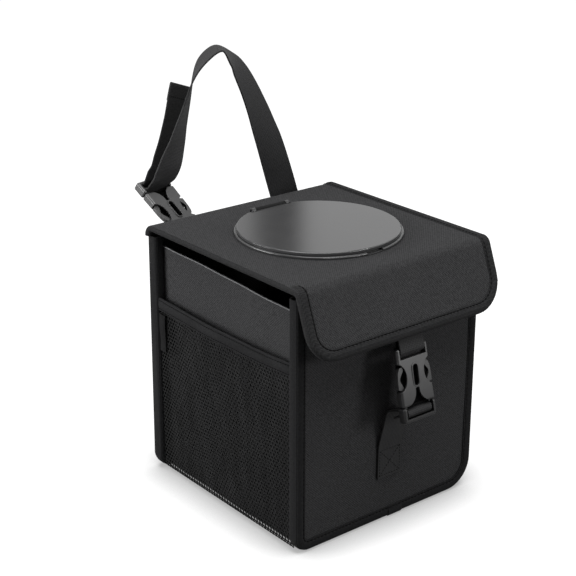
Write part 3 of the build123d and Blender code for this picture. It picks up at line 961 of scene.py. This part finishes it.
def press_tape(piece):
    """Presses the tape of the lid's left edge under the cloth, along the top and round the back fold."""
    reach = 10
    proud = 0.3
    deep = 0.7
    edge_deep = 0.15
    front_end = -86
    for vertex in piece.data.vertices:
        inward = vertex.co.x + lid_half
        if not 0.5 < inward < reach:
            continue
        under = edge_deep if inward < 2 else deep
        spoke = vertex.co - Vector((vertex.co.x, panel_face - back_fold, lid_top - back_fold))
        if spoke.y >= 0:
            if spoke.length > back_fold - proud:
                vertex.co += spoke * ((back_fold - under) / spoke.length - 1)
        elif vertex.co.y > front_end and vertex.co.z > lid_top - proud:
            vertex.co.z = lid_top - under


def lid_edge():
    skin = 0.35
    first_bend = 5.5
    first_stitch = -92.5
    left = lid_line(-lid_half, 0, flap_length)
    right = lid_line(lid_half, 0, flap_length)
    outline = [(-lid_half + across, panel_face - deep, lid_low) for across, deep in lid_tape]
    piece = start_section("lid_tape", outline)
    radii = [back_fold, front_fold, flap_corner, flap_corner_right, front_fold, back_fold]
    follow(piece, left + right[::-1], radii, cuts=16, steps=9)
    press_tape(piece)
    settle(piece, lit_lid_tape_cloth, "lid", ["lid_binding"], angle=50)
    left = lid_line(-lid_half + stitch_inset, skin, flap_length - stitch_inset)
    right = lid_line(lid_half - stitch_inset, skin, flap_length - stitch_inset)
    begin = Vector((left[2].x, first_stitch, left[2].z))
    radii = [first_bend, flap_corner - stitch_inset, flap_corner_right - stitch_inset]
    radii += [front_fold + skin, back_fold + skin]
    line = even(rounded([begin] + left[2:] + right[::-1], radii), 4)
    sew("lid_stitches", line, tape_stitch_pitch, tape_stitch, sewing_thread, "lid")


lid_edge()


# Cloth of the lid's back fold, from the back panel to the lid
def back_fold_cloth():
    low = 197.0
    high = 209.0
    half = 82.0
    thickness = 0.4
    place = (0, panel_face + 0.5, (low + high) / 2)
    piece = sheet("back_fold_cloth", columns=30, rows=18, size=(2 * half, high - low), place=place)
    for vertex in piece.data.vertices:
        above = max(0, vertex.co.z - (lid_top - back_fold))
        vertex.co.y -= back_fold - (back_fold**2 - above**2) ** 0.5
    thicken(piece, thickness)
    settle(lay_cloth(piece, upright_lay), panel_fabric, None)
    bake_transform(piece)


back_fold_cloth()


def under_flap(down, deep):
    return fold_point + flap_down * down + flap_inward * deep


# Front buckle's frame, from its strap bar at the flap's end
slack = 0.2
bar_reach = 9.1
bar_drop = 42.6
bar_radius = 2.1
bar_turn = bar_radius + slack + webbing_thickness / 2
front_bar = under_flap(flap_length + bar_reach, tape_under + webbing_thickness + slack + bar_radius + slack)
buckle_tilt = radians(12.6)
front_up = Vector((0, sin(buckle_tilt), cos(buckle_tilt)))
front_out = Vector((0, -cos(buckle_tilt), sin(buckle_tilt)))
front_mouth = front_bar - front_up * bar_drop
plug_bar = -5.4
plug_turn = 2.95
half_round = [pi * step / 12 for step in range(13)]


def beside_buckle(along, out):
    return front_mouth + front_up * along + front_out * out


def flat_stations(points):
    return [(point, Vector((1, 0, 0))) for point in points]


# Black sheets inside the buckles, behind the slot, the windows and the arch: painted shade where the insides
# lie in shadow
def buckle_shade_inside(name, spot, across, body):
    wall_width = 29
    wall_deep = -1.85
    lip_width = 21
    plate = 0.15
    wall = [spot(along, wall_deep) for along in (34, 17, 0.4)]
    lip = [spot(0.5, -1.7), spot(0.4, -0.3), spot(0.1, -0.05), spot(-1.4, -0.05)]
    wall = ribbon(name, [(point, across) for point in wall], wall_width, plate)
    lip = ribbon(name + "_lip", [(point, across) for point in lip], lip_width, plate)
    for piece in (wall, lip):
        settle(piece, painted_shade_black, body)


buckle_shade_inside("front_buckle_inside", beside_buckle, Vector((1, 0, 0)), "lid")


# Webbing under the flap, looped round the socket's bar
def flap_webbing():
    seat = tape_under + 0.85
    inner_seat = seat + 1.6
    leaves_flap = 53
    toward = (front_bar - under_flap(leaves_flap, seat)).normalized()
    out = Vector((0, toward.z, -toward.y))
    points = [under_flap(22, seat), under_flap(50, seat)]
    for angle in half_round:
        points.append(front_bar + out * bar_turn * cos(angle) + toward * bar_turn * sin(angle))
    points += [under_flap(52, inner_seat), under_flap(24, inner_seat)]
    return ribbon("flap_webbing", flat_stations(even(points, station_pitch)))


settle(flap_webbing(), webbing, "lid", ["flap_strap"])


# Webbing sewn to the front panel and threaded round the plug's bar
def panel_webbing():
    width = 24.4
    bends = [50, 6]
    slot = beside_buckle(plug_bar + plug_turn, 0)
    rising = [(0, -webbing_seat, 38), (0, -webbing_seat, 66), (0, -webbing_seat - 9, 100)]
    points = rounded(rising + [slot], bends, steps=10)
    for angle in half_round[1:-1]:
        points.append(beside_buckle(plug_bar + plug_turn * cos(angle), plug_turn * sin(angle)))
    low = plug_bar - plug_turn
    points += [beside_buckle(low - drop, -back) for back, drop in ((0, 0), (4, 0), (9, 0.7), (14, 2.2))]
    return ribbon("panel_webbing", flat_stations(even(points, station_pitch)), width)


settle(panel_webbing(), webbing, "bin", ["panel_strap"])

# Box stitch with a cross, on the webbing's sewn end
box_low = 40.5
box_high = 62.0
box_half = 10.3
box_y = -panel_face - 2.45
low_left, low_right = (-box_half, box_low), (box_half, box_low)
high_left, high_right = (-box_half, box_high), (box_half, box_high)
box = [low_left, low_right, high_right, high_left, low_left]
for index, line in enumerate((box, [low_left, high_right], [low_right, high_left])):
    points = even([Vector((x, box_y, z)) for x, z in line], 3)
    name = f"panel_box_stitches_{index}"
    sew(name, points, webbing_stitch_pitch, box_stitch, seam_thread, "bin")

# Back buckle's frame, from its strap bar
rise = radians(36)
turn_left = 11.0
yaw = radians(turn_left)
back_up = Vector((-sin(yaw) * cos(rise), cos(yaw) * cos(rise), sin(rise)))
back_out = Vector((sin(yaw) * sin(rise), -cos(yaw) * sin(rise), cos(rise)))
anchor_x = -44.9
anchor_out = 12.9
anchor_height = 197.5
anchor_bar = Vector((anchor_x, panel_face + anchor_out, anchor_height))
back_mouth = anchor_bar + back_up * bar_drop


def turned(point):
    """A stop of webbing that is turned as the back buckle is."""
    return Vector((*point, turn_left))


def beside_back_buckle(along, out):
    return back_mouth - back_up * along + back_out * out


def on_back_buckle(along, out):
    return turned(beside_back_buckle(along, out))


buckle_shade_inside("back_buckle_inside", beside_back_buckle, Vector((cos(yaw), sin(yaw), 0)), "bin")

# Hanging strap: right leg on the back panel, loop over the top, turn round the plug's bar, free tail.
# A stop is x, y, z and the turn of the width about Z.
loop_low = 230.0
fall_top = 296.0
leg_x = 59.0
leg_low = 112
arch = [
    (leg_x, webbing_seat, 160.0, 0),
    (59.3, panel_face + 3.6, 179.2, -8),
    (58.7, panel_face + 15.3, 206.8, -25),
    (47.7, panel_face + 19.3, 248.7, -12),
    (41.3, panel_face + 21.0, 268.0, 0),
    (35.5, panel_face + 22.6, 284.9, 10),
    (28.6, panel_face + 25.0, 303.0, 19),
    (21.3, panel_face + 27.2, 318.0, 27),
    (15.1, panel_face + 29.5, 328.0, 40),
    (5.1, panel_face + 33.7, 337.7, 64),
    (-8.0, panel_face + 36.2, 331.0, 67),
    (-18.5, panel_face + 37.3, 316.0, 54),
    (-26.5, panel_face + 38.0, 292.0, 41),
    (-31.8, panel_face + 38.3, 276.6, 32),
    (-36.6, panel_face + 38.5, 262.0, 21),
    (-43.2, panel_face + 38.6, 246.3, 6),
    (-47.2, panel_face + 41.2, 236.0, 3),
    on_back_buckle(plug_bar + plug_turn, 6),
]
leg = [Vector((leg_x, webbing_seat, leg_low + 4 * index, 0)) for index in range(12)]
through = [on_back_buckle(plug_bar + plug_turn, 3)]
for angle in half_round:
    through.append(on_back_buckle(plug_bar + plug_turn * cos(angle), -plug_turn * sin(angle)))
through.append(on_back_buckle(plug_bar - plug_turn, 3))
tail = [
    on_back_buckle(plug_bar - plug_turn, 6),
    (-45.2, panel_face + 50.3, 240.0, 11),
    (-41.6, panel_face + 50.2, 250.0, 12),
    (-37.2, panel_face + 50.0, 262.0, 14),
    (-32.2, panel_face + 49.0, 280.0, 15),
    (-29.4, panel_face + 47.6, 294.0, 15),
    (-24.6, panel_face + 48.6, 308.0, 15),
]

# Free end, folded back on itself and sewn
fold_radius = 0.9
fold_slip = 1.5
fold_steps = 5
fold_stations = 7
tail_run = smooth_run(tail, 8)
tail_stations = turned_stations(tail_run)
tail_top, tail_across = tail_stations[-1]
tail_along = (tail_run[-1] - tail_run[-2]).xyz.normalized()
tail_face = tail_across.cross(tail_along)
tail_fold = []
for step in range(1, fold_steps + 1):
    angle = pi * step / fold_steps
    folded = tail_top + tail_along * fold_radius * sin(angle) - tail_face * fold_radius * (1 - cos(angle))
    folded += tail_across * fold_slip * step / fold_steps
    tail_fold.append((folded, tail_across))
for centre, across in tail_stations[-2:-2 - fold_stations:-1]:
    tail_fold.append((centre - tail_face * 2 * fold_radius + across * fold_slip, across))

# The strap's lengths share their end stations
arch_run = smooth_run(arch, 10)
whole = turned_stations(leg + arch_run + through + tail_run) + tail_fold
arch_end = len(leg) + len(arch_run)
high = [index for index, station in enumerate(whole) if station[0].z > loop_low]
going_up = high[0]
coming_down = max(index for index in high if index < arch_end) + 1
falling = [index for index in range(going_up, coming_down) if whole[index][0].x < 0]
edge_on = min(index for index in falling if whole[index][0].z < fall_top)
tail_start = min(index for index in high if index >= arch_end + len(through))
# Each length takes a lit or shaded copy of the webbing.
settle(ribbon("hanging_strap_foot", whole[:going_up + 1]), webbing, "bin", ["hanging_strap"])
loop = settle(ribbon("hanging_strap_loop", whole[going_up:edge_on + 1]), lit_loop_webbing, "bin")
fall = settle(ribbon("hanging_strap_fall", whole[edge_on:coming_down + 1]), lit_fall_webbing, "bin")
settle(ribbon("hanging_strap_turn", whole[coming_down:tail_start + 1]), lit_loop_webbing, "bin")
free_end = settle(ribbon("hanging_strap_tail", whole[tail_start:]), shaded_tail_webbing, "bin")
hem_from_end = 10
hem_middle = tail_top - tail_along * hem_from_end + tail_face * 0.7
hem_line = [hem_middle + tail_across * (aside * 3.8) for aside in range(-3, 4)]
tail_stitches = sew(
    "tail_stitches", hem_line, webbing_stitch_pitch, tail_stitch, sewing_thread, "bin"
)
loop.visible_glossy = False
fall.visible_glossy = False
for piece in (loop, fall, free_end, tail_stitches):
    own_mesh(piece)


# Short webbing from the back panel round the hanging socket's bar
def anchor_webbing():
    low = 124
    over = anchor_bar + back_out * bar_turn
    under = anchor_bar - back_out * bar_turn
    stops = [Vector((anchor_x, webbing_seat, low + 6 * index, 0)) for index in range(7)]
    going = [(anchor_x, webbing_seat, 166, 0), (anchor_x, webbing_seat + 1.6, 180, 3)]
    stops += smooth_run(going + [turned(over - back_up * 6), turned(over)], 6)
    for angle in half_round[1:-1]:
        stops.append(turned(anchor_bar + back_out * bar_turn * cos(angle) + back_up * bar_turn * sin(angle)))
    coming = [(anchor_x, webbing_seat + 2.0, 176, 2), (anchor_x, webbing_seat + 1.8, 150, 0)]
    stops += smooth_run([turned(under), turned(under - back_up * 5)] + coming, 6)
    return ribbon("anchor_webbing", turned_stations(stops))


settle(anchor_webbing(), webbing, "bin", ["anchor_strap"])

# Camera, in metres
view_right = Vector((0.78, -0.626, 0))
view_ahead = Vector((0.626, 0.78, 0))
camera_place = Vector((-0.6783, -0.8149, 0.5738))
camera_data = bpy.data.cameras.new("camera")
camera = bpy.data.objects.new("camera", camera_data)
bpy.context.scene.collection.objects.link(camera)
right = view_right.normalized()
ahead = Vector((0.584, 0.728, -0.359)).normalized()
above = right.cross(ahead)
stand = Matrix((right, above, -ahead)).transposed().to_4x4()
stand.translation = camera_place
camera.matrix_world = stand
camera_data.sensor_width = 36
camera_data.lens = 88.87
bpy.context.scene.camera = camera
bpy.context.scene.view_settings.view_transform = "Standard"

# Levels of the light and of the floor's shade
ambient_level = 0.105
side_power = 31.0
front_power = 10.0
top_power = 36.0
room_shine = 1.3
room_dark = 0.03
floor_shine = 0.15
floor_shade_reach = 0.045
floor_shade = 0.35
floor_white = 0.95


def light_path(tree):
    """The kinds of rays, and whether a ray comes from the camera, straight or through clear pieces."""
    rays = put(tree, "ShaderNodeLightPath").outputs
    return rays, reckon(tree, "MAXIMUM", rays["Is Camera Ray"], rays["Is Transmission Ray"])


# Pale floor: white, with the shade of the bin kept on it; its glow is dimmed near the bin, a painted contact
# shade
let_go()
bpy.ops.mesh.primitive_plane_add(size=12, location=(0, 0, -0.0005))
floor = bpy.context.object
floor.name = "floor"
floor_finish, tree, paper = finish_tree("floor_paper")
feed(tree, paper, Base_Color=(*grey(0.25), 1), Roughness=1.0, Specular_IOR_Level=0.0)
rays, seen = light_path(tree)
seen = reckon(tree, "MAXIMUM", seen, times(tree, rays["Is Glossy Ray"], floor_shine))
sky = put(tree, "ShaderNodeAmbientOcclusion", {"samples": 16}, Distance=floor_shade_reach).outputs["AO"]
shade = ranged(tree, sky, 0.45, 1.0, floor_shade, floor_white)
glow = put(tree, "ShaderNodeEmission", Color=(1, 1, 1, 1), Strength=times(tree, seen, shade))
both = put(tree, "ShaderNodeAddShader", i0=paper.outputs[0], i1=glow.outputs[0])
feed(tree, tree.nodes["Material Output"], Surface=both.outputs[0])
floor.data.materials.append(floor_finish)

# Soft studio light. What shines back from the disc is a white wall with a dark gap at its left end.
world = bpy.data.worlds.new("studio")
bpy.context.scene.world = world
world.use_nodes = True
tree = world.node_tree
rays, seen = light_path(tree)
toward = put(tree, "ShaderNodeTexCoord").outputs["Generated"]


def part_toward(direction):
    dot = put(tree, "ShaderNodeVectorMath", {"operation": "DOT_PRODUCT"}, i0=toward, i1=direction)
    return dot.outputs["Value"]


across = part_toward(view_right)
ahead_share = part_toward(view_ahead)
aside = ranged(tree, reckon(tree, "DIVIDE", across, ahead_share), -0.06, 0.03)
wall = put(tree, "ShaderNodeValToRGB", Fac=aside)
for place, level in (
    (0.29, 0.61), (0.34, 0.50), (0.39, 0.30), (0.44, 0.14), (0.49, 0.05), (0.54, 0.02),
    (0.64, 0.0), (0.69, 0.03), (0.735, 0.2), (0.785, 0.47), (0.83, 0.74), (0.88, 0.84),
):
    stop = wall.color_ramp.elements.new(place)
    stop.color = (*grey(level), 1)
wall.color_ramp.elements[0].color = (*grey(0.66), 1)
wall.color_ramp.elements[-1].color = (*grey(0.88), 1)
in_front = reckon(tree, "GREATER_THAN", ahead_share, 0.3)
room = ranged(tree, across, 0.3, 0.95, room_dark, room_shine)
shine = ranged(tree, in_front, 0.0, 1.0, room, wall.outputs["Color"])
lit = ranged(tree, rays["Is Glossy Ray"], 0.0, 1.0, ambient_level, shine)
strength = ranged(tree, seen, 0.0, 1.0, lit, 1.0)
feed(tree, tree.nodes["Background"], Color=(1, 1, 1, 1), Strength=strength)


def softbox(name, place, size, power):
    """A square lamp that faces the bin's middle."""
    middle = Vector((0, 0, 0.1))
    lamp = bpy.data.lights.new(name, "AREA")
    lamp.size = size
    lamp.energy = power
    stand = bpy.data.objects.new(name, lamp)
    bpy.context.scene.collection.objects.link(stand)
    stand.location = place
    stand.rotation_euler = (middle - Vector(place)).to_track_quat("-Z", "Y").to_euler()


softbox("side_softbox", (-1.5, 0.8, 0.5), 1.0, side_power)
softbox("front_softbox", (0.8, -1.7, 0.7), 0.5, front_power)
softbox("top_softbox", (-0.2, -0.4, 1.9), 1.5, top_power)
